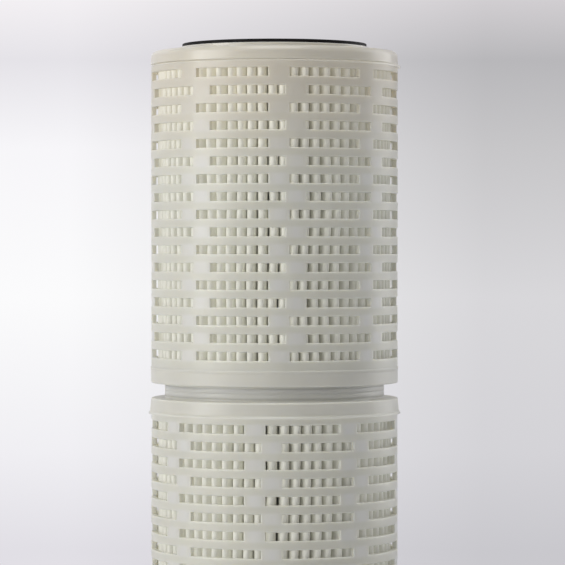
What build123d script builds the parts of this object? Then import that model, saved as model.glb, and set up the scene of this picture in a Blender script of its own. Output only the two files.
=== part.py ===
from build123d import *
import os
from math import cos, pi, sin

# A double-open-end pleated sediment filter cartridge, standing on its lower gasket.
# The origin is the centre of that gasket's lower face, +Z runs up the cartridge's axis
# and -Y is the front. Lengths are in millimetres and angles in degrees.

# The modules, from the ground up: turn about Z and number of pleats
module_turns = {"lower": -8.8, "upper": 2.2}
pleat_counts = {"lower": 62, "upper": 66}

# Slotted outer cage
cage_outer_diameter = 178.0
cage_wall = 3.5
slot_rows = 17
slots_per_row = 8
slot_height = 6.0
row_pitch = 12.4
post_width = 15.0
row_stagger = 7.6
wall_above_slots = 15.8
wall_below_slots = 18.4

# End caps, one at each end of each module
cap_disc_thickness = 6.0
cap_skirt_height = 11.5
cap_skirt_wall = 1.5
cap_bore_diameter = 80.0
upper_cap_flare = 2.0
upper_cap_shoulder = 1.5
lower_cap_flare = 0.5
lower_cap_shoulder = 2.0

# Gasket and its seat on the two outermost caps
gasket_outer_diameter = 133.0
gasket_width = 13.0
gasket_thickness = 3.0
gasket_edge_radius = 0.4
seat_height = 3.0
seat_recess = 0.6
seat_rim = 1.2

# Welded neck between the modules
neck_outer_diameter = 157.6
neck_wall = 10.0
neck_height = 10.8
bead_roll_height = 4.0
bead_roll_depth = 1.2
bead_roll_overlap = 0.4

# Perforated inner core
core_outer_diameter = 92.0
core_wall = 4.0
core_seat_depth = 1.5
core_rows = 7
core_windows_per_row = 6
core_window_height = 18.0
core_row_pitch = 29.0
core_post_width = 15.0

# The three sheets that are pleated together, from the outside in
sheet_thicknesses = {"drainage_layer": 0.4, "filter_media": 0.6, "support_layer": 0.4}
pleat_tip_width = 4.4

# Clearances
skirt_clearance = 0.2
skirt_lip_gap = 0.3
pleat_tip_clearance = 2.0
pleat_root_clearance = 0.3
core_clearance = 0.2
gasket_clearance = 0.2
cutter_overrun = 2.0

# Sizes that follow from those above
cage_radius = cage_outer_diameter / 2
cage_inner_radius = cage_radius - cage_wall
skirt_inner_radius = cage_radius - cap_skirt_wall
rim_radius = skirt_inner_radius - skirt_clearance
rim_length = cap_skirt_height - cap_disc_thickness + skirt_lip_gap
bore_radius = cap_bore_diameter / 2
gasket_outer_radius = gasket_outer_diameter / 2
gasket_inner_radius = gasket_outer_radius - gasket_width
gasket_proud = seat_height - seat_recess + gasket_thickness
neck_radius = neck_outer_diameter / 2
core_radius = core_outer_diameter / 2
core_inner_radius = core_radius - core_wall
pack_thickness = sum(sheet_thicknesses.values())
pleat_tip_radius = cage_inner_radius - pleat_tip_clearance
pleat_root_radius = core_radius + pleat_root_clearance
slot_field = (slot_rows - 1) * row_pitch + slot_height
module_height = wall_below_slots + slot_field + wall_above_slots
module_pitch = module_height + neck_height
inner_height = module_height - 2 * cap_disc_thickness
module_bases = {
    name: gasket_proud + index * module_pitch for index, name in enumerate(module_turns)
}


def revolve_profile(profile):
    """Turn a profile, drawn with x as the radius and y as the height, about the axis."""
    return revolve(Plane.XZ * profile, Axis.Z)


def ring(inner_radius, outer_radius, bottom, height):
    """A plain ring about the axis."""
    face = Circle(outer_radius) - Circle(inner_radius)
    return Pos(0, 0, bottom) * extrude(face, height)


def front_turn(angle):
    """Turn from the front, which is -Y, towards +X."""
    return Rot(0, 0, angle - 90)


def window_row(inner_radius, outer_radius, count, bar_width, height):
    """The cutters for one row of windows in a round wall, with a bar at the front."""
    inside = inner_radius - cutter_overrun
    outside = outer_radius + cutter_overrun
    bar = Pos((inside + outside) / 2, 0) * Rectangle(outside - inside + 2 * cutter_overrun, bar_width)
    bars = [Rot(0, 0, index * 360 / count) * bar for index in range(count)]
    return extrude(Circle(outside) - Circle(inside) - bars, height)


def cage():
    """The outer cage: a round wall with staggered rows of slots and a stepped rim at each end."""
    wall = ring(cage_inner_radius, cage_radius, rim_length, inner_height - 2 * rim_length)
    rims = ring(cage_inner_radius, rim_radius, 0, inner_height)
    row = window_row(cage_inner_radius, cage_radius, slots_per_row, post_width, slot_height)
    lowest_slot = wall_below_slots - cap_disc_thickness
    cutters = []
    for index in range(slot_rows):
        rows_from_top = slot_rows - 1 - index
        turn = front_turn(row_stagger * (rows_from_top % 2))
        cutters += (Pos(0, 0, lowest_slot + index * row_pitch) * turn * row).solids()
    return wall + rims - cutters


def core():
    """The inner core: a tube with rows of windows, seated in a groove of each cap."""
    length = inner_height + 2 * core_seat_depth
    tube = ring(core_inner_radius, core_radius, 0, length)
    row = window_row(
        core_inner_radius, core_radius, core_windows_per_row, core_post_width, core_window_height
    )
    window_field = (core_rows - 1) * core_row_pitch + core_window_height
    lowest_window = (length - window_field) / 2
    cutters = []
    for index in range(core_rows):
        cutters += (Pos(0, 0, lowest_window + index * core_row_pitch) * row).solids()
    return Pos(0, 0, -core_seat_depth) * (tube - cutters)


def fold_line(count, tip_radius, tip_width, root_radius, root_width):
    """One closed zigzag, with a flat of the given width at each tip and root, or a sharp fold."""
    points = []
    for index in range(count):
        for radius, width, turn in (
            (tip_radius, tip_width, 2 * pi * index / count),
            (root_radius, root_width, 2 * pi * (index + 0.5) / count),
        ):
            sides = (-width / 2, width / 2) if width > 0 else (0,)
            for side in sides:
                x = radius * cos(turn) - side * sin(turn)
                y = radius * sin(turn) + side * cos(turn)
                points.append((x, y))
    return make_face(Polyline(*points, close=True))


def pleated_sheets(count):
    """The sheets of one pleat pack, nested so that each one's inside is the next one's outside."""
    depth = 0
    outline = fold_line(count, pleat_tip_radius, pleat_tip_width, pleat_root_radius + pack_thickness, 0)
    sheets = {}
    for name, thickness in sheet_thicknesses.items():
        depth += thickness
        tip_width = pleat_tip_width - 2 * depth
        root_radius = pleat_root_radius + pack_thickness - depth
        inline = fold_line(count, pleat_tip_radius - depth, tip_width, root_radius, 2 * depth)
        sheets[name] = extrude(outline - inline, inner_height)
        outline = inline
    return sheets


def cap(flare, shoulder):
    """An end cap with its outer face at height 0: a disc with a bore, and a skirt round the cage."""
    corner = CenterArc((cage_radius - shoulder, -shoulder), shoulder, 0, 90)
    outline = Polyline(
        (cage_radius - shoulder, 0),
        (bore_radius, 0),
        (bore_radius, -cap_disc_thickness),
        (skirt_inner_radius, -cap_disc_thickness),
        (skirt_inner_radius, -cap_skirt_height),
        (cage_radius + flare, -cap_skirt_height),
        (cage_radius, -shoulder),
    )
    body = revolve_profile(make_face([corner, outline]))
    groove = ring(
        core_inner_radius - core_clearance,
        core_radius + core_clearance,
        -cap_disc_thickness,
        core_seat_depth,
    )
    return body - groove


def gasket_seat():
    """The raised ring on an outermost cap, recessed for its gasket."""
    inner = gasket_inner_radius - gasket_clearance
    outer = gasket_outer_radius + gasket_clearance
    boss = ring(inner - seat_rim, outer + seat_rim, 0, seat_height)
    return boss - ring(inner, outer, seat_height - seat_recess, seat_recess)


def gasket():
    """A flat gasket, with its outer face at the top."""
    body = ring(gasket_inner_radius, gasket_outer_radius, seat_height - seat_recess, gasket_thickness)
    return fillet(body.edges().group_by(Axis.Z)[-1], gasket_edge_radius)


def half_neck():
    """The ring on a joint cap that is welded to its twin on the next module."""
    return ring(neck_radius - neck_wall, neck_radius, 0, neck_height / 2)


def weld_bead():
    """The two rolls of plastic that the weld squeezed out, centred on height 0."""
    rolls = []
    for low in (bead_roll_overlap / 2 - bead_roll_height, -bead_roll_overlap / 2):
        foot = (neck_radius, low)
        crest = (neck_radius + bead_roll_depth, low + bead_roll_height / 2)
        head = (neck_radius, low + bead_roll_height)
        rolls.append(revolve_profile(make_face([ThreePointArc(foot, crest, head), Line(head, foot)])))
    return rolls[0] + rolls[1]


def facing_up(shape, height):
    """Put a piece, drawn with its outer face at height 0, at the given height."""
    return Pos(0, 0, height) * shape


def facing_down(shape, height):
    """The same, with the piece turned over."""
    return Pos(0, 0, height) * Rot(180, 0, 0) * shape


def module_parts(name):
    """The cage, core and pleat pack of one module."""
    base = Pos(0, 0, module_bases[name] + cap_disc_thickness)
    turned = base * Rot(0, 0, module_turns[name])
    parts = {f"cage_{name}": turned * cage(), f"core_{name}": turned * core()}
    for sheet_name, sheet in pleated_sheets(pleat_counts[name]).items():
        parts[f"{sheet_name}_{name}"] = turned * sheet
    return parts


def cap_parts():
    """The four caps: a gasket seat on the outermost two and half a neck on the others."""
    upper_cap = cap(upper_cap_flare, upper_cap_shoulder)
    lower_cap = cap(lower_cap_flare, lower_cap_shoulder)
    bottom = module_bases["lower"]
    top = module_bases["upper"] + module_height
    return {
        "end_cap_bottom": facing_down(lower_cap + gasket_seat(), bottom),
        "joint_cap_lower": facing_up(upper_cap + half_neck(), bottom + module_height),
        "joint_cap_upper": facing_down(lower_cap + half_neck(), module_bases["upper"]),
        "end_cap_top": facing_up(upper_cap + gasket_seat(), top),
        "gasket_bottom": facing_down(gasket(), bottom),
        "gasket_top": facing_up(gasket(), top),
        "weld_bead": facing_up(weld_bead(), bottom + module_height + neck_height / 2),
    }


def build_parts():
    """Every piece of the cartridge, by its name."""
    parts = cap_parts()
    for name in module_turns:
        parts.update(module_parts(name))
    return parts


os.makedirs("parts", exist_ok=True)
for part_name, part in build_parts().items():
    export_step(part, f"parts/{part_name}.step")
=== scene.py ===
import math
import bpy
import bmesh
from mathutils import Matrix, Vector, noise


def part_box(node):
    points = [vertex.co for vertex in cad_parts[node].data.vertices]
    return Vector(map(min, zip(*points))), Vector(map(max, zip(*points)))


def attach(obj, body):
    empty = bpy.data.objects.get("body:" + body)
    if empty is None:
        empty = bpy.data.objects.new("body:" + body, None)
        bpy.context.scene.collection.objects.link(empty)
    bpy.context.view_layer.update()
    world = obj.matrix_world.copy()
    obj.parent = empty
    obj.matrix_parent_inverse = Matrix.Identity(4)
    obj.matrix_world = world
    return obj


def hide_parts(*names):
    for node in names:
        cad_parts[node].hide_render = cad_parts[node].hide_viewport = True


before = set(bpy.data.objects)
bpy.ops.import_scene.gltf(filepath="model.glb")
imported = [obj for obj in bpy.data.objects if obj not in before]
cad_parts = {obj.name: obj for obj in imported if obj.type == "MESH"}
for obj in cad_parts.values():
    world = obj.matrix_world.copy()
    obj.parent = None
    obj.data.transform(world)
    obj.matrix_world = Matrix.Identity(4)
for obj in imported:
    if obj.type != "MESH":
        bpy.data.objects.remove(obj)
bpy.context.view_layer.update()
mm = 0.001
mergeGap = 0.001 * mm  # points closer than this are one
print("frame loaded:", len(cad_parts), "nodes")


# Camera, at the photo's angle
cameraSizes = {
    "distance": 2.32,      # from the axis, in metres
    "height": 0.3540,      # eye level
    "asideBy": 0.0058,     # the cartridge stands a little left of the middle
    "pitch": -0.670,       # degrees, down
    "lens": 204.6,
    "sensor": 36.0,
    "farthest": 30.0,      # metres
}


def makeCamera(sizes):
    data = bpy.data.cameras.new("photoCamera")
    camera = bpy.data.objects.new("photoCamera", data)
    bpy.context.scene.collection.objects.link(camera)
    data.lens = sizes["lens"]
    data.sensor_width = sizes["sensor"]
    data.clip_end = sizes["farthest"]
    camera.location = (sizes["asideBy"], -sizes["distance"], sizes["height"])
    camera.rotation_euler = (math.radians(90 + sizes["pitch"]), 0, 0)
    bpy.context.scene.camera = camera


makeCamera(cameraSizes)
print("camera placed")


# Helpers for nodes and pieces
def newMaterial(name):
    material = bpy.data.materials.new(name)
    material.use_nodes = True
    tree = material.node_tree
    return material, tree, tree.nodes["Principled BSDF"]


def addNode(tree, kind, inputs=None, **settings):
    node = tree.nodes.new(kind)
    for key, value in settings.items():
        setattr(node, key, value)
    for key, value in (inputs or {}).items():
        node.inputs[key].default_value = value
    return node


def noiseNode(tree, scale, detail=3.0, roughness=0.5, stretch=(1, 1, 1)):
    # cloudy noise on the piece's own coordinates, scale in cells per metre
    coordinates = addNode(tree, "ShaderNodeTexCoord")
    mapping = addNode(tree, "ShaderNodeMapping", {"Scale": stretch})
    inputs = {"Scale": scale, "Detail": detail, "Roughness": roughness}
    texture = addNode(tree, "ShaderNodeTexNoise", inputs)
    tree.links.new(coordinates.outputs["Object"], mapping.inputs["Vector"])
    tree.links.new(mapping.outputs["Vector"], texture.inputs["Vector"])
    return texture.outputs["Fac"]


def placeOutputs(tree):
    # a point's own X, Y and Z
    coordinates = addNode(tree, "ShaderNodeTexCoord")
    split = addNode(tree, "ShaderNodeSeparateXYZ")
    tree.links.new(coordinates.outputs["Object"], split.inputs["Vector"])
    return split.outputs


def rampNode(tree, factor, stops):
    ramp = addNode(tree, "ShaderNodeValToRGB")
    elements = ramp.color_ramp.elements
    while len(elements) < len(stops):
        elements.new(0.5)
    for element, (position, color) in zip(elements, stops):
        element.position = position
        element.color = (*color, 1)
    tree.links.new(factor, ramp.inputs["Fac"])
    return ramp.outputs["Color"]


def mapNode(tree, value, low, high, toLow=0.0, toHigh=1.0):
    spans = {"From Min": low, "From Max": high, "To Min": toLow, "To Max": toHigh}
    node = addNode(tree, "ShaderNodeMapRange", spans)
    tree.links.new(value, node.inputs["Value"])
    return node.outputs["Result"]


def mixColors(tree, factor, first, second):
    mix = addNode(tree, "ShaderNodeMix", data_type="RGBA")
    tree.links.new(factor, mix.inputs["Factor"])
    for value, socket in ((first, mix.inputs[6]), (second, mix.inputs[7])):
        if isinstance(value, tuple):
            socket.default_value = (*value, 1)
        else:
            tree.links.new(value, socket)
    return mix.outputs[2]


def bumpNode(tree, heights, strength, distance, before=None):
    bump = addNode(tree, "ShaderNodeBump", {"Strength": strength, "Distance": distance})
    tree.links.new(heights, bump.inputs["Height"])
    if before is not None:
        tree.links.new(before, bump.inputs["Normal"])
    return bump.outputs["Normal"]


def mixShaders(tree, factor, first, second, output="Material Output"):
    mix = addNode(tree, "ShaderNodeMixShader")
    tree.links.new(factor, mix.inputs["Fac"])
    tree.links.new(first, mix.inputs[1])
    tree.links.new(second, mix.inputs[2])
    tree.links.new(mix.outputs["Shader"], tree.nodes[output].inputs["Surface"])


def finishPiece(name, bm, node, material, sharpAngle=35):
    mesh = bpy.data.meshes.new(name)
    bm.to_mesh(mesh)
    bm.free()
    mesh.polygons.foreach_set("use_smooth", [True] * len(mesh.polygons))
    mesh.set_sharp_from_angle(angle=math.radians(sharpAngle))
    mesh.materials.append(material)
    piece = bpy.data.objects.new(name, mesh)
    bpy.context.scene.collection.objects.link(piece)
    weighted = piece.modifiers.new("weightedNormals", "WEIGHTED_NORMAL")
    weighted.keep_sharp = True
    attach(piece, "root")
    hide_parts(node)
    return piece


def evenSteps(edges, longest):
    # the given edges with each gap between them divided into steps no longer than asked
    values = []
    for low, high in zip(edges, edges[1:]):
        count = max(1, math.ceil((high - low) / longest - 0.001))
        values += [low + (high - low) * step / count for step in range(count)]
    return values + [edges[-1]]


# Finishes
noiseSpan = (0.3, 0.7)     # most of a noise texture lies between these
creamHeights = (0.40, 0.475)  # the plastic and fleece turn creamier towards the top

plasticFinish = {
    "ribColor": (0.655, 0.65, 0.585),
    # painted light: the posts' paler tone stands in for the light that shows through them
    "postLitColor": (0.685, 0.68, 0.65),
    "capColor": (0.655, 0.645, 0.585),
    "coreColor": (0.80, 0.80, 0.78),
    "creamColor": (0.63, 0.595, 0.515),
    "darkest": 0.94,       # the clouds' darkest part, as a share of the colour
    "cloudSpan": (0.35, 0.65),
    "cloudScale": 22,      # this scale and the others are cells in a metre
    "glossScale": 60,
    "roughness": (0.30, 0.40),
    "swellScale": 45,      # slow waves in the moulded wall
    "swellStretch": (1, 1, 0.5),
    "swellStrength": 0.25,
    "swellDepth": 0.6 * mm,
    "grainScale": 900,
    "grainStrength": 0.12,
    "grainDepth": 0.1 * mm,
    "scatter": 0.85,
    "scatterReach": 5.0 * mm,
    "scatterTints": (1.0, 0.95, 0.8),
    "ior": 1.49,
    "letThrough": 0.95,    # the share of the light that shines through a wall
    "topCoat": 0.5,        # the shine of the top cap
    "coatRoughness": 0.2,
}


def creamier(tree, tint, cream):
    height = placeOutputs(tree)["Z"]
    return mixColors(tree, mapNode(tree, height, *creamHeights), tint, cream)


def letThrough(tree, shader, share):
    # milky walls pass part of the light that falls on them
    rays = addNode(tree, "ShaderNodeLightPath")
    part = addNode(tree, "ShaderNodeMath", {1: share}, operation="MULTIPLY")
    tree.links.new(rays.outputs["Is Shadow Ray"], part.inputs[0])
    clear = addNode(tree, "ShaderNodeBsdfTransparent")
    mixShaders(tree, part.outputs["Value"], shader.outputs["BSDF"], clear.outputs["BSDF"])


def cloudyTint(tree, finish, color, detail, roughness=0.5):
    cloud = noiseNode(tree, finish["cloudScale"], detail, roughness)
    darker = tuple(part * finish["darkest"] for part in color)
    low, high = finish["cloudSpan"]
    return rampNode(tree, cloud, [(low, darker), (high, color)])


def milkyPlastic(name, color, finish, litPosts=False, coat=0.0):
    material, tree, shader = newMaterial(name)
    tint = cloudyTint(tree, finish, color, 4)
    if litPosts:
        # painted light: the posts are mixed towards a paler tone
        share = addNode(tree, "ShaderNodeAttribute", attribute_name="postLightShare")
        tint = mixColors(tree, share.outputs["Fac"], tint, finish["postLitColor"])
    tint = creamier(tree, tint, finish["creamColor"])
    tree.links.new(tint, shader.inputs["Base Color"])
    gloss = mapNode(tree, noiseNode(tree, finish["glossScale"], 3), *noiseSpan, *finish["roughness"])
    tree.links.new(gloss, shader.inputs["Roughness"])
    waves = noiseNode(tree, finish["swellScale"], 2, stretch=finish["swellStretch"])
    swell = bumpNode(tree, waves, finish["swellStrength"], finish["swellDepth"])
    specks = noiseNode(tree, finish["grainScale"], 2)
    grain = bumpNode(tree, specks, finish["grainStrength"], finish["grainDepth"], swell)
    tree.links.new(grain, shader.inputs["Normal"])
    shader.inputs["Subsurface Weight"].default_value = finish["scatter"]
    shader.inputs["Subsurface Radius"].default_value = finish["scatterTints"]
    shader.inputs["Subsurface Scale"].default_value = finish["scatterReach"]
    shader.inputs["IOR"].default_value = finish["ior"]
    shader.inputs["Coat Weight"].default_value = coat
    shader.inputs["Coat Roughness"].default_value = finish["coatRoughness"]
    letThrough(tree, shader, finish["letThrough"])
    return material


fleeceFinish = {
    "outer": (0.895, 0.89, 0.825),
    "middle": (0.88, 0.88, 0.84),
    "inner": (0.80, 0.80, 0.74),
    "cream": (0.90, 0.88, 0.80),
    "darkest": 0.9,
    "cloudSpan": noiseSpan,
    "cloudScale": 90,
    "fibreScale": 1500,
    "fibreStretch": (1, 1, 0.35),
    "fibreStrength": 0.5,
    "fibreDepth": 0.15 * mm,
    "roughness": 0.85,
    "shine": 0.3,
    "sheen": 0.25,
    "sheenRoughness": 0.5,
    "letThrough": 0.96,
}


def fleece(name, color, finish):
    material, tree, shader = newMaterial(name)
    tint = creamier(tree, cloudyTint(tree, finish, color, 4, 0.6), finish["cream"])
    tree.links.new(tint, shader.inputs["Base Color"])
    fibres = noiseNode(tree, finish["fibreScale"], 3, 0.7, finish["fibreStretch"])
    nap = bumpNode(tree, fibres, finish["fibreStrength"], finish["fibreDepth"])
    tree.links.new(nap, shader.inputs["Normal"])
    shader.inputs["Roughness"].default_value = finish["roughness"]
    shader.inputs["Specular IOR Level"].default_value = finish["shine"]
    shader.inputs["Sheen Weight"].default_value = finish["sheen"]
    shader.inputs["Sheen Roughness"].default_value = finish["sheenRoughness"]
    letThrough(tree, shader, finish["letThrough"])
    return material


rubberFinish = {
    "dark": (0.006, 0.006, 0.006),
    "pale": (0.012, 0.011, 0.011),
    "cloudScale": 120,
    "glossScale": 300,
    "roughness": (0.5, 0.68),
    "grainScale": 1400,
    "grainStrength": 0.2,
    "grainDepth": 0.08 * mm,
    "shine": 0.12,
}


def blackRubber(name, finish):
    material, tree, shader = newMaterial(name)
    low, high = noiseSpan
    cloud = noiseNode(tree, finish["cloudScale"], 3)
    tint = rampNode(tree, cloud, [(low, finish["dark"]), (high, finish["pale"])])
    tree.links.new(tint, shader.inputs["Base Color"])
    gloss = mapNode(tree, noiseNode(tree, finish["glossScale"], 2), low, high, *finish["roughness"])
    tree.links.new(gloss, shader.inputs["Roughness"])
    specks = noiseNode(tree, finish["grainScale"], 2)
    grain = bumpNode(tree, specks, finish["grainStrength"], finish["grainDepth"])
    tree.links.new(grain, shader.inputs["Normal"])
    shader.inputs["Specular IOR Level"].default_value = finish["shine"]
    return material


cageMaterial = milkyPlastic("cagePlastic", plasticFinish["ribColor"], plasticFinish, litPosts=True)
capMaterial = milkyPlastic("capPlastic", plasticFinish["capColor"], plasticFinish)
topCapMaterial = milkyPlastic(
    "topCapPlastic", plasticFinish["capColor"], plasticFinish, coat=plasticFinish["topCoat"]
)
coreMaterial = milkyPlastic("corePlastic", plasticFinish["coreColor"], plasticFinish)
rubberMaterial = blackRubber("gasketRubber", rubberFinish)
layerMaterials = {
    "drainage_layer": fleece("drainageFleece", fleeceFinish["outer"], fleeceFinish),
    "filter_media": fleece("filterFleece", fleeceFinish["middle"], fleeceFinish),
    "support_layer": fleece("supportFleece", fleeceFinish["inner"], fleeceFinish),
}
print("finishes made")


# Modules: the turn of each about the axis, its number of pleats and where the first of them is
moduleSizes = {
    "lower": {"turn": -8.8, "pleats": 62, "firstPleat": -1.3, "seed": 3.1},
    "upper": {"turn": 2.2, "pleats": 66, "firstPleat": -0.6, "seed": 11.7},
}


# Slotted cages and windowed cores: a wrapped wall with openings, then its thickness
cageSizes = {
    "radius": 89.0,
    "wall": 3.5,
    "rimRadius": 87.3,
    "rimLength": 5.5,
    "rows": 17,
    "openingsPerRow": 8,
    "openingHeight": 6.0,
    "rowPitch": 12.4,
    "postWidth": 15.0,
    "stagger": 7.6,        # degrees, on every second row from the top
    "firstOpening": 12.4,  # above the cage's lower end
    "edgeRadius": 0.6,
    "longestColumn": 2.5,  # degrees
    "postLightFade": 2.0,           # how far a post's painted light reaches into the ribs
    "postLightSideFade": 1.15,      # and how wide it is beside the post
    "swell": 0.15,         # how far the moulded wall wanders
}
coreSizes = {
    "radius": 46.0,
    "wall": 4.0,
    "rimRadius": 46.0,
    "rimLength": 5.8,
    "rows": 7,
    "openingsPerRow": 6,
    "openingHeight": 18.0,
    "rowPitch": 29.0,
    "postWidth": 15.0,
    "stagger": 0.0,
    "firstOpening": None,  # the rows are centred
    "edgeRadius": 0.6,
    "longestColumn": 5.0,
    "postLightFade": 1.0,
    "postLightSideFade": 1.15,
    "swell": 0.1,
}
wallSwell = {"around": 2, "height": 60}  # how fast the wander changes, around and in mm up
hair = 0.01                # tolerance, in mm or degrees


def openingRows(sizes, height):
    field = (sizes["rows"] - 1) * sizes["rowPitch"] + sizes["openingHeight"]
    first = sizes["firstOpening"] if sizes["firstOpening"] is not None else (height - field) / 2
    rows = []
    for index in range(sizes["rows"]):
        low = first + index * sizes["rowPitch"]
        turn = sizes["stagger"] * ((sizes["rows"] - 1 - index) % 2)
        rows.append((low, low + sizes["openingHeight"], turn))
    return rows


def postHalf(sizes):
    # half the width of a post, in degrees
    return math.degrees(math.asin(sizes["postWidth"] / 2 / sizes["radius"]))


def fromPost(sizes, angle, turn):
    # degrees from the middle of the nearest post
    period = 360 / sizes["openingsPerRow"]
    return (angle - turn + period / 2) % period - period / 2


def isPost(sizes, angle, turn):
    return abs(fromPost(sizes, angle, turn)) < postHalf(sizes) + hair


def postLightShareAt(sizes, angle, turn):
    # painted light of a post: full in its middle and fading to its sides
    return max(0.0, 1 - (fromPost(sizes, angle, turn) / postHalf(sizes) / sizes["postLightSideFade"]) ** 2)


def wallColumns(sizes):
    period = 360 / sizes["openingsPerRow"]
    half = postHalf(sizes)
    edges = sorted({round(turn + side, 4) for turn in (0, sizes["stagger"]) for side in (-half, half)})
    angles = [edge + period * index for index in range(sizes["openingsPerRow"]) for edge in edges]
    return evenSteps(angles + [angles[0] + 360], sizes["longestColumn"])


def wallLevels(sizes, rows, height):
    # pairs of height and radius, from the bottom up; the rims are stepped in
    rim, radius, length = sizes["rimRadius"], sizes["radius"], sizes["rimLength"]
    heights = {length, height - length}
    for low, high, turn in rows:
        heights |= {low - sizes["postLightFade"], low, high, high + sizes["postLightFade"]}
    middle = [(value, radius) for value in sorted(heights)]
    ends = [(height - length, rim), (height, rim)] if rim < radius else [(height, rim)]
    starts = [(0, rim), (length, rim)] if rim < radius else [(0, rim)]
    return starts + middle + ends


def windowedWall(sizes, bottom, height, turn, seed):
    rows = openingRows(sizes, height)
    angles = wallColumns(sizes)
    levels = wallLevels(sizes, rows, height)
    columnCount, levelCount = len(angles) - 1, len(levels) - 1
    bm = bmesh.new()
    # each point's share of the posts' painted light
    share = bm.verts.layers.float.new("postLightShare")
    bmesh.ops.create_grid(bm, x_segments=columnCount, y_segments=levelCount, size=1)
    places = {}
    for vert in bm.verts:
        column = round((vert.co.x + 1) / 2 * columnCount)
        level = round((vert.co.y + 1) / 2 * levelCount)
        places[vert] = (column, level)
    gone = []
    for face in bm.faces:
        columns = [places[vert][0] for vert in face.verts]
        steps = [places[vert][1] for vert in face.verts]
        angle = (angles[min(columns)] + angles[max(columns)]) / 2
        middle = (levels[min(steps)][0] + levels[max(steps)][0]) / 2
        for low, high, rowTurn in rows:
            if low < middle < high and not isPost(sizes, angle, rowTurn):
                gone.append(face)
    for vert, (column, level) in places.items():
        z, radius = levels[level]
        for low, high, rowTurn in rows:
            if low - hair < z < high + hair:
                vert[share] = postLightShareAt(sizes, angles[column], rowTurn)
        along = math.cos(math.radians(angles[column])) * wallSwell["around"]
        wander = noise.noise(Vector((along, z / wallSwell["height"], seed)))
        radius += sizes["swell"] * (wander - 0.5)
        around = math.radians(angles[column] + turn - 90)
        vert.co = Vector((radius * math.cos(around), radius * math.sin(around), bottom + z)) * mm
    bmesh.ops.delete(bm, geom=gone, context="FACES")
    bmesh.ops.remove_doubles(bm, verts=bm.verts, dist=hair * mm)
    bmesh.ops.recalc_face_normals(bm, faces=bm.faces)
    thickenInwards(bm, (sizes["radius"] - sizes["wall"]) * mm)
    softenOpenings(bm, sizes, bottom, height)
    return bm


def thickenInwards(bm, innerRadius):
    outside = list(bm.faces)
    made = bmesh.ops.extrude_face_region(bm, geom=outside, use_keep_orig=True)
    for item in made["geom"]:
        if isinstance(item, bmesh.types.BMVert):
            item.co.xy = item.co.xy.normalized() * innerRadius
    bmesh.ops.remove_doubles(bm, verts=bm.verts, dist=hair * mm)
    bmesh.ops.recalc_face_normals(bm, faces=bm.faces)


def softenOpenings(bm, sizes, bottom, height, margin=0.5, sharpest=60):
    # the outer edges between the rims, rounded where they are sharper than the given angle
    least = (sizes["radius"] - margin) * mm
    rim = sizes["rimLength"] + margin
    low, high = (bottom + rim) * mm, (bottom + height - rim) * mm
    sharp = []
    for edge in bm.edges:
        outer = all(vert.co.xy.length > least and low < vert.co.z < high for vert in edge.verts)
        if outer and len(edge.link_faces) == 2 and edge.calc_face_angle(0) > math.radians(sharpest):
            sharp.append(edge)
    bmesh.ops.bevel(bm, geom=sharp, offset=sizes["edgeRadius"] * mm, segments=2, profile=0.5,
                    affect="EDGES", material=-1, clamp_overlap=True)


for name, module in moduleSizes.items():
    for kind, sizes, slot, material in (
        ("cage", cageSizes, "cage_plastic", cageMaterial),
        ("core", coreSizes, "core_plastic", coreMaterial),
    ):
        low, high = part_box(f"{kind}_{name}")
        bm = windowedWall(sizes, low.z / mm, (high.z - low.z) / mm, module["turn"], module["seed"])
        finishPiece(f"{kind}_{name}_moulded", bm, f"{kind}_{name}", material)
print("cages and cores made")


# Pleated sheets: nested folds with round tips, each sheet between two depths of the same fold
pleatSizes = {
    "tipRadius": 84.2,     # how far out the folds reach
    "tipWidth": 5.0,
    "rootRadius": 46.3,
    "rootBend": 0.3,       # outer bend at the root
    "bulgeBack": 5.4,      # behind its tip each fold swells until it nearly meets the next one
    "bulgeGap": 0.8,
    "layers": {"drainage_layer": (0.0, 0.4), "filter_media": (0.4, 1.0), "support_layer": (1.0, 1.4)},
    "packThickness": 1.4,
    "drift": 1.2,          # how far neighbours sway together
    "ownDrift": 0.45,      # and each one by itself
    "sink": 0.8,           # how far a tip may stand back
    "heights": 24,
    "hiddenHeights": 12,
    "tipSteps": 8,
    "hiddenTipSteps": 4,
    "rootSteps": 2,
}
swayWaves = {              # how fast the sway changes around the pack, from fold to fold and in mm up
    "sharedAround": 2.2,
    "sharedHeight": 70,
    "ownStep": 5.3,
    "ownHeight": 45,
    "sinkStep": 3.9,
    "sinkHeight": 80,
    "sinkSeed": 50,
}


def foldOutline(sizes, count, depth, tipSteps):
    # one pleat's points, as distance along its own middle line and distance aside from it
    halfTip = sizes["tipWidth"] / 2
    bend = sizes["rootBend"]
    halfTurn = math.pi / count
    tipCentre = Vector((sizes["tipRadius"] - halfTip, 0))
    bulgeReach = sizes["tipRadius"] - sizes["bulgeBack"]
    bulge = Vector((bulgeReach, bulgeReach * math.sin(halfTurn) - sizes["bulgeGap"] / 2))
    rootReach = sizes["rootRadius"] + sizes["packThickness"] + bend
    rootCentre = Vector((rootReach * math.cos(halfTurn), rootReach * math.sin(halfTurn)))
    outwards = bulge - tipCentre
    tipTurn = math.atan2(outwards.y, outwards.x) - math.acos(halfTip / outwards.length)
    inwards = rootCentre - bulge
    rootTurn = math.atan2(inwards.y, inwards.x) % (2 * math.pi) + math.pi / 2
    points = []
    for step in range(tipSteps + 1):
        angle = -tipTurn + 2 * tipTurn * step / tipSteps
        points.append(tipCentre + (halfTip - depth) * Vector((math.cos(angle), math.sin(angle))))
    points.append(bulge - Vector((0, depth)))
    for step in range(sizes["rootSteps"] + 1):
        angle = rootTurn + (math.pi + halfTurn - rootTurn) * step / sizes["rootSteps"]
        points.append(rootCentre + (depth + bend) * Vector((math.cos(angle), math.sin(angle))))
    mirrored = [Vector((point.x, -point.y)) for point in reversed(points[tipSteps + 1:-1])]
    return mirrored + points


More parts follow.
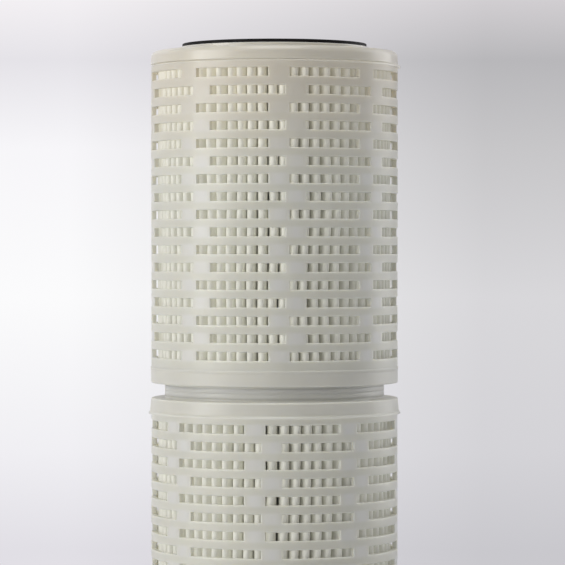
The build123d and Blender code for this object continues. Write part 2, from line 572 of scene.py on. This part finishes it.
def pleatSway(sizes, waves, index, angle, z, seed):
    # how far aside and how far back a fold's tip stands at a height
    around = waves["sharedAround"]
    height = z / waves["sharedHeight"] + seed
    shared = noise.noise(Vector((around * math.cos(angle), around * math.sin(angle), height)))
    own = noise.noise(Vector((index * waves["ownStep"], z / waves["ownHeight"], seed)))
    sinkPlace = (index * waves["sinkStep"], z / waves["sinkHeight"], seed + waves["sinkSeed"])
    back = noise.noise(Vector(sinkPlace))
    aside = sizes["drift"] * 2 * shared + sizes["ownDrift"] * 2 * own
    return aside, sizes["sink"] * min(1, max(0, 0.5 + back))


def pleatedSheet(sizes, module, layer, bottom, height):
    hidden = layer != "drainage_layer"
    tipSteps = sizes["hiddenTipSteps"] if hidden else sizes["tipSteps"]
    levelCount = sizes["hiddenHeights"] if hidden else sizes["heights"]
    depths = sizes["layers"][layer]
    outlines = [foldOutline(sizes, module["pleats"], depth, tipSteps) for depth in depths]
    perPleat = len(outlines[0])
    columnCount = perPleat * module["pleats"]
    rootLine = sizes["rootRadius"] + sizes["packThickness"]
    reach = sizes["tipRadius"] - rootLine

    def foldPoint(column, level, side):
        index, step = divmod(column % columnCount, perPleat)
        point = outlines[side][step]
        z = height * level / levelCount
        turn = 2 * math.pi * index / module["pleats"]
        sway, sink = pleatSway(sizes, swayWaves, index, turn, z, module["seed"])
        outwards = min(1, max(0, (point.x - rootLine) / reach))
        local = Vector((point.x - sink * outwards, point.y + sway * outwards))
        around = turn + math.radians(module["firstPleat"] - 90)
        x = local.x * math.cos(around) - local.y * math.sin(around)
        y = local.x * math.sin(around) + local.y * math.cos(around)
        return Vector((x, y, bottom + z)) * mm

    bm = bmesh.new()
    column = bm.verts.layers.int.new("column")
    level = bm.verts.layers.int.new("level")
    bmesh.ops.create_grid(bm, x_segments=columnCount, y_segments=levelCount, size=1)
    for vert in bm.verts:
        vert[column] = round((vert.co.x + 1) / 2 * columnCount)
        vert[level] = round((vert.co.y + 1) / 2 * levelCount)
        vert.co = foldPoint(vert[column], vert[level], 0)
    bmesh.ops.remove_doubles(bm, verts=bm.verts, dist=mergeGap)
    bmesh.ops.recalc_face_normals(bm, faces=bm.faces)
    made = bmesh.ops.extrude_face_region(bm, geom=list(bm.faces), use_keep_orig=True)
    for item in made["geom"]:
        if isinstance(item, bmesh.types.BMVert):
            item.co = foldPoint(item[column], item[level], 1)
    bmesh.ops.recalc_face_normals(bm, faces=bm.faces)
    return bm


for name, module in moduleSizes.items():
    for layer in pleatSizes["layers"]:
        low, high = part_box(f"{layer}_{name}")
        bm = pleatedSheet(pleatSizes, module, layer, low.z / mm, (high.z - low.z) / mm)
        material = layerMaterials[layer]
        finishPiece(f"{layer}_{name}_folded", bm, f"{layer}_{name}", material, sharpAngle=60)
print("pleated sheets made")


# Caps, neck, weld bead and gaskets: outlines turned about the axis
ringSteps = 144


def turnedRing(outline, softCorners, bottom, upwards, wander=None):
    # outline: radius and height of each corner; softCorners: the rounding of some of them
    bm = bmesh.new()
    corners = [bm.verts.new((radius * mm, 0, height * mm)) for radius, height in outline]
    for first, second in zip(corners, corners[1:] + corners[:1]):
        bm.edges.new((first, second))
    for index, rounding in softCorners.items():
        bmesh.ops.bevel(bm, geom=[corners[index]], offset=rounding * mm, offset_type="OFFSET",
                        segments=4, profile=0.5, affect="VERTICES", material=-1)
    bmesh.ops.spin(bm, geom=bm.verts[:] + bm.edges[:], cent=(0, 0, 0), axis=(0, 0, 1),
                   angle=2 * math.pi, steps=ringSteps, use_merge=True)
    bmesh.ops.remove_doubles(bm, verts=bm.verts, dist=mergeGap)
    if wander:
        for vert in bm.verts:
            wander(vert)
    for vert in bm.verts:
        vert.co.z = bottom + (vert.co.z if upwards else -vert.co.z)
    bmesh.ops.recalc_face_normals(bm, faces=bm.faces)
    return bm


capSizes = {
    "disc": 6.0,
    "skirt": 11.5,
    "bore": 40.0,
    "radius": 89.0,
    "inner": 87.5,
    "groove": (41.8, 46.2, 1.5),      # inner and outer radius, depth
    "top": {"lip": 91.0, "body": 89.1, "corner": 4.4, "unevenLip": 1.92, "overlap": 0.3},
    "upper": {"lip": 91.0, "body": 89.9, "corner": 0.8, "unevenLip": 0.0, "overlap": 0.0},
    "lower": {"lip": 89.5, "body": 89.1, "corner": 0.9, "unevenLip": 0.0, "overlap": 0.0},
    "lipHeight": 1.2,
    "flare": (1.0, 0.2),              # where the side turns out above the lip and meets it
    "seat": (52.1, 67.9, 3.0),        # inner and outer radius, height
    "seatFloor": (53.3, 66.7, 2.4),
    "neck": (68.8, 78.8, 5.4),
    "lipWander": 0.2,
    "lipWaves": 4,
    "lipDepth": 1.8,                  # what is this far out from the inner face wanders
    "lipRise": 1.5,                   # and from this far above the lip
    "rounding": {
        "bore": 0.8,
        "innerFoot": 0.5,
        "seatEdge": 0.4,
        "seatFoot": 0.8,
        "neckFoot": 1.0,
        "flare": 0.5,
        "lipTop": 0.25,
        "lipFoot": 0.15,
    },
}


def lipWander(sizes, kind, seed):
    def move(vert):
        radius = vert.co.xy.length
        depth = -vert.co.z / mm
        highest = sizes["skirt"] - sizes["lipHeight"] - sizes["lipRise"]
        if radius > (sizes["inner"] + sizes["lipDepth"]) * mm and depth > highest:
            angle = math.atan2(vert.co.y, vert.co.x)
            waves = sizes["lipWaves"]
            value = noise.noise(Vector((waves * math.cos(angle), waves * math.sin(angle), seed)))
            share = 1 - max(0, math.cos(angle)) ** 2  # none towards +X, where the lip stands proud
            back = sizes["lipWander"] * (0.5 + value) + sizes[kind]["unevenLip"] * share
            vert.co.xy *= 1 - back * mm / radius
    return move


def capRing(sizes, kind, top, bottom, upwards, seed):
    flank = sizes[kind]
    rounding = sizes["rounding"]
    grooveIn, grooveOut, grooveDepth = sizes["groove"]
    disc, skirt = sizes["disc"], sizes["skirt"] + flank["overlap"]
    lipTop = skirt - sizes["lipHeight"]
    flareTop, flareFoot = sizes["flare"]
    outline = [(sizes["bore"], -disc), (sizes["bore"], 0)]
    soft = {1: rounding["bore"], 2: rounding["innerFoot"]}
    if top == "seat":
        inner, outer, height = sizes["seat"]
        floorIn, floorOut, floor = sizes["seatFloor"]
        outline += [(inner, 0), (inner, height), (floorIn, height), (floorIn, floor),
                    (floorOut, floor), (floorOut, height), (outer, height), (outer, 0)]
        soft.update({3: rounding["seatEdge"], 8: rounding["seatEdge"], 9: rounding["seatFoot"]})
    else:
        inner, outer, height = sizes["neck"]
        outline += [(inner, 0), (inner, height), (outer, height), (outer, 0)]
        soft[5] = rounding["neckFoot"]
    edge = len(outline)
    outline += [
        (sizes["radius"], 0),
        (flank["body"], flareTop - lipTop),
        (flank["lip"], -lipTop - flareFoot),
        (flank["lip"], -skirt),
        (sizes["inner"], -skirt),
        (sizes["inner"], -disc),
        (grooveOut, -disc),
        (grooveOut, -disc + grooveDepth),
        (grooveIn, -disc + grooveDepth),
        (grooveIn, -disc),
    ]
    soft.update({
        edge: flank["corner"],
        edge + 1: rounding["flare"],
        edge + 2: rounding["lipTop"],
        edge + 3: rounding["lipFoot"],
    })
    return turnedRing(outline, soft, bottom, upwards, lipWander(sizes, kind, seed))


capPlaces = {              # shape of the side, what stands on the face, facing up or down, and seed
    "end_cap_top": ("top", "seat", True, 1.3),
    "joint_cap_lower": ("upper", "neck", True, 7.9),
    "joint_cap_upper": ("lower", "neck", False, 4.2),
    "end_cap_bottom": ("lower", "seat", False, 9.6),
}
for node, (kind, top, upwards, seed) in capPlaces.items():
    low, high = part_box(node)
    outerFace = low.z + capSizes["skirt"] * mm if upwards else high.z - capSizes["skirt"] * mm
    material = topCapMaterial if kind == "top" else capMaterial
    bm = capRing(capSizes, kind, top, outerFace, upwards, seed)
    finishPiece(f"{node}_moulded", bm, node, material)
print("caps made")


gasketSizes = {"inner": 53.5, "outer": 66.5, "edge": 0.5}

for node in ("gasket_top", "gasket_bottom"):
    low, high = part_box(node)
    thickness = (high.z - low.z) / mm
    inner, outer, edge = gasketSizes["inner"], gasketSizes["outer"], gasketSizes["edge"]
    outline = [(inner, 0), (inner, thickness), (outer, thickness), (outer, 0)]
    upwards = node == "gasket_top"
    bm = turnedRing(outline, {1: edge, 2: edge}, low.z if upwards else high.z, upwards)
    finishPiece(f"{node}_rubber", bm, node, rubberMaterial)
print("gaskets made")


beadSizes = {
    "neck": 78.8,
    "depth": 0.5,
    "rollHalf": 2.0,
    "rollMiddle": 1.8,     # each roll's middle from the weld
    "steps": 6,
    "backing": 0.4,        # how far the rolls sink into the neck
    "wander": 0.35,
    "wanderShift": 0.6,
    "wanderFrom": 0.1,     # what stands less proud than this stays
    "wavesAround": 5,
    "wavesUp": 200,
}


def beadRing(sizes, middle):
    outline = []
    for roll in (-1, 1):
        for step in range(sizes["steps"] + 1):
            if roll == 1 and step == 0:
                continue  # the lower roll ends there
            angle = math.pi * step / sizes["steps"]
            radius = sizes["neck"] + sizes["depth"] * math.sin(angle)
            outline.append((radius, roll * sizes["rollMiddle"] - sizes["rollHalf"] * math.cos(angle)))
    outline.append((sizes["neck"] - sizes["backing"], sizes["rollMiddle"]))
    outline.append((sizes["neck"] - sizes["backing"], -sizes["rollMiddle"]))

    def wander(vert):
        radius = vert.co.xy.length
        proud = radius - sizes["neck"] * mm
        if proud > sizes["wanderFrom"] * mm:
            angle = math.atan2(vert.co.y, vert.co.x)
            waves, rise = sizes["wavesAround"], vert.co.z * sizes["wavesUp"]
            value = noise.noise(Vector((waves * math.cos(angle), waves * math.sin(angle), rise)))
            back = proud * sizes["wander"] * (sizes["wanderShift"] + value)
            vert.co.xy *= 1 - back / radius

    return turnedRing(outline, {}, middle, True, wander)


low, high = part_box("weld_bead")
bm = beadRing(beadSizes, (low.z + high.z) / 2)
finishPiece("weld_bead_rolls", bm, "weld_bead", capMaterial)
print("weld bead made")


# Floor, backdrop and light
stageSizes = {
    "width": 40.0,
    "front": -20.0,
    "back": 4.6,
    "height": 5.0,
    "bend": 1.4,
    "bendSteps": 16,
    "blendFrom": 0.6,      # how far from the axis the floor starts to turn into the backdrop's painted light and shade
    "blendTo": 1.15,
    "upReach": (-0.10, 0.078),       # the picture's bottom and top, as rise over distance
    "sideReach": (-0.0655, 0.0637),  # and its left and right
    "roughness": 0.9,
    "grainScale": 6,
    "floorTones": ((0.74, 0.74, 0.76), (0.76, 0.76, 0.78)),
}
backdropLightRows = [           # painted light and shade of the backdrop: picture height from 0 at the bottom to 1 at the top, left and right tones
    (0.030, (0.753, 0.738, 0.784), (0.584, 0.578, 0.610)),
    (0.200, (0.871, 0.863, 0.896), (0.658, 0.651, 0.680)),
    (0.470, (0.965, 0.965, 0.973), (0.687, 0.680, 0.701)),
    (0.730, (0.930, 0.922, 0.947), (0.571, 0.565, 0.578)),
    (0.885, (0.784, 0.768, 0.807), (0.479, 0.474, 0.491)),
    (0.990, (0.896, 0.871, 0.896), (0.638, 0.617, 0.638)),
]


def stageMaterial(sizes, camera):
    material, tree, shader = newMaterial("paintedLightBackdrop")
    shader.inputs["Roughness"].default_value = sizes["roughness"]
    grain = noiseNode(tree, sizes["grainScale"], 3)
    floorTint = rampNode(tree, grain, list(zip(noiseSpan, sizes["floorTones"])))
    tree.links.new(floorTint, shader.inputs["Base Color"])
    place = placeOutputs(tree)

    def calculate(operation, *values):
        node = addNode(tree, "ShaderNodeMath", operation=operation)
        for socket, value in zip(node.inputs, values):
            if isinstance(value, (int, float)):
                socket.default_value = value
            else:
                tree.links.new(value, socket)
        return node.outputs["Value"]

    # how far up and across the backdrop a point lies, as a share of the distance from the front
    away = calculate("ADD", calculate("MAXIMUM", place["Y"], 0.0), camera["distance"])
    rise = calculate("DIVIDE", calculate("SUBTRACT", place["Z"], camera["height"]), away)
    across = calculate("DIVIDE", place["X"], away)
    upShare = mapNode(tree, rise, *sizes["upReach"])
    leftTones = rampNode(tree, upShare, [(height, left) for height, left, right in backdropLightRows])
    rightTones = rampNode(tree, upShare, [(height, right) for height, left, right in backdropLightRows])
    tones = mixColors(tree, mapNode(tree, across, *sizes["sideReach"]), leftTones, rightTones)
    # the painted light and shade glows for camera, glossy and transmission rays, far from the axis
    glow = addNode(tree, "ShaderNodeEmission")
    tree.links.new(tones, glow.inputs["Color"])
    rays = addNode(tree, "ShaderNodeLightPath")
    seen = calculate("MAXIMUM", rays.outputs["Is Camera Ray"], rays.outputs["Is Glossy Ray"])
    seen = calculate("MAXIMUM", seen, rays.outputs["Is Transmission Ray"])
    squares = [calculate("MULTIPLY", place[axis], place[axis]) for axis in ("X", "Y")]
    fromAxis = calculate("SQRT", calculate("ADD", *squares))
    far = mapNode(tree, fromAxis, sizes["blendFrom"], sizes["blendTo"])
    painted = calculate("MULTIPLY", seen, far)
    mixShaders(tree, painted, shader.outputs["BSDF"], glow.outputs["Emission"])
    return material


def makeStage(sizes, camera):
    bm = bmesh.new()
    left, front, back = -sizes["width"] / 2, sizes["front"], sizes["back"]
    corners = [bm.verts.new(corner) for corner in (
        (left, front, 0), (left, back, 0), (left, back, sizes["height"])
    )]
    bm.edges.new(corners[:2])
    bm.edges.new(corners[1:])
    bmesh.ops.bevel(bm, geom=[corners[1]], offset=sizes["bend"], offset_type="OFFSET",
                    segments=sizes["bendSteps"], profile=0.5, affect="VERTICES", material=-1)
    made = bmesh.ops.extrude_edge_only(bm, edges=bm.edges)
    moved = [item for item in made["geom"] if isinstance(item, bmesh.types.BMVert)]
    bmesh.ops.translate(bm, verts=moved, vec=(sizes["width"], 0, 0))
    bmesh.ops.recalc_face_normals(bm, faces=bm.faces)
    mesh = bpy.data.meshes.new("floorAndBackdrop")
    bm.to_mesh(mesh)
    bm.free()
    mesh.polygons.foreach_set("use_smooth", [True] * len(mesh.polygons))
    mesh.materials.append(stageMaterial(sizes, camera))
    stage = bpy.data.objects.new("floorAndBackdrop", mesh)
    bpy.context.scene.collection.objects.link(stage)


makeStage(stageSizes, cameraSizes)

lightSizes = {             # place, width and height in metres, watts, colour
    "leftWindow": ((-2.1, -1.1, 0.8), (1.6, 1.8), 26, (1.0, 0.99, 0.97)),
    "leftStrip": ((-2.0, -0.62, 0.8), (0.2, 1.4), 3.5, (1.0, 1.0, 0.99)),
    "rightSide": ((1.8, 0.95, 0.8), (1.4, 1.8), 12.5, (0.99, 0.99, 1.0)),
    "above": ((0.0, -0.7, 2.1), (1.2, 1.2), 13, (1.0, 1.0, 1.0)),
}
lightTarget = Vector((0, 0, 0.3))


def makeLights(sizes):
    for name, (place, (width, height), power, color) in sizes.items():
        data = bpy.data.lights.new(name, "AREA")
        data.shape = "RECTANGLE"
        data.size, data.size_y = width, height
        data.energy = power
        data.color = color
        light = bpy.data.objects.new(name, data)
        light.location = place
        light.rotation_euler = (lightTarget - Vector(place)).to_track_quat("-Z", "Y").to_euler()
        bpy.context.scene.collection.objects.link(light)


makeLights(lightSizes)

worldSizes = {"color": (0.86, 0.87, 0.90), "strength": 0.38, "seenColor": (0.68, 0.67, 0.71)}


def makeWorld(sizes):
    # a soft room light, seen by the camera as a pale wall
    world = bpy.data.worlds.new("room")
    world.use_nodes = True
    bpy.context.scene.world = world
    tree = world.node_tree
    background = tree.nodes["Background"]
    background.inputs["Color"].default_value = (*sizes["color"], 1)
    background.inputs["Strength"].default_value = sizes["strength"]
    seen = addNode(tree, "ShaderNodeBackground", {"Color": (*sizes["seenColor"], 1), "Strength": 1.0})
    camera = addNode(tree, "ShaderNodeLightPath").outputs["Is Camera Ray"]
    lit, plain = background.outputs["Background"], seen.outputs["Background"]
    mixShaders(tree, camera, lit, plain, "World Output")


makeWorld(worldSizes)
bpy.context.scene.view_settings.view_transform = "Standard"
bpy.context.scene.cycles.diffuse_bounces = 8  # light has to find its way out of the folds
print("stage and light made")
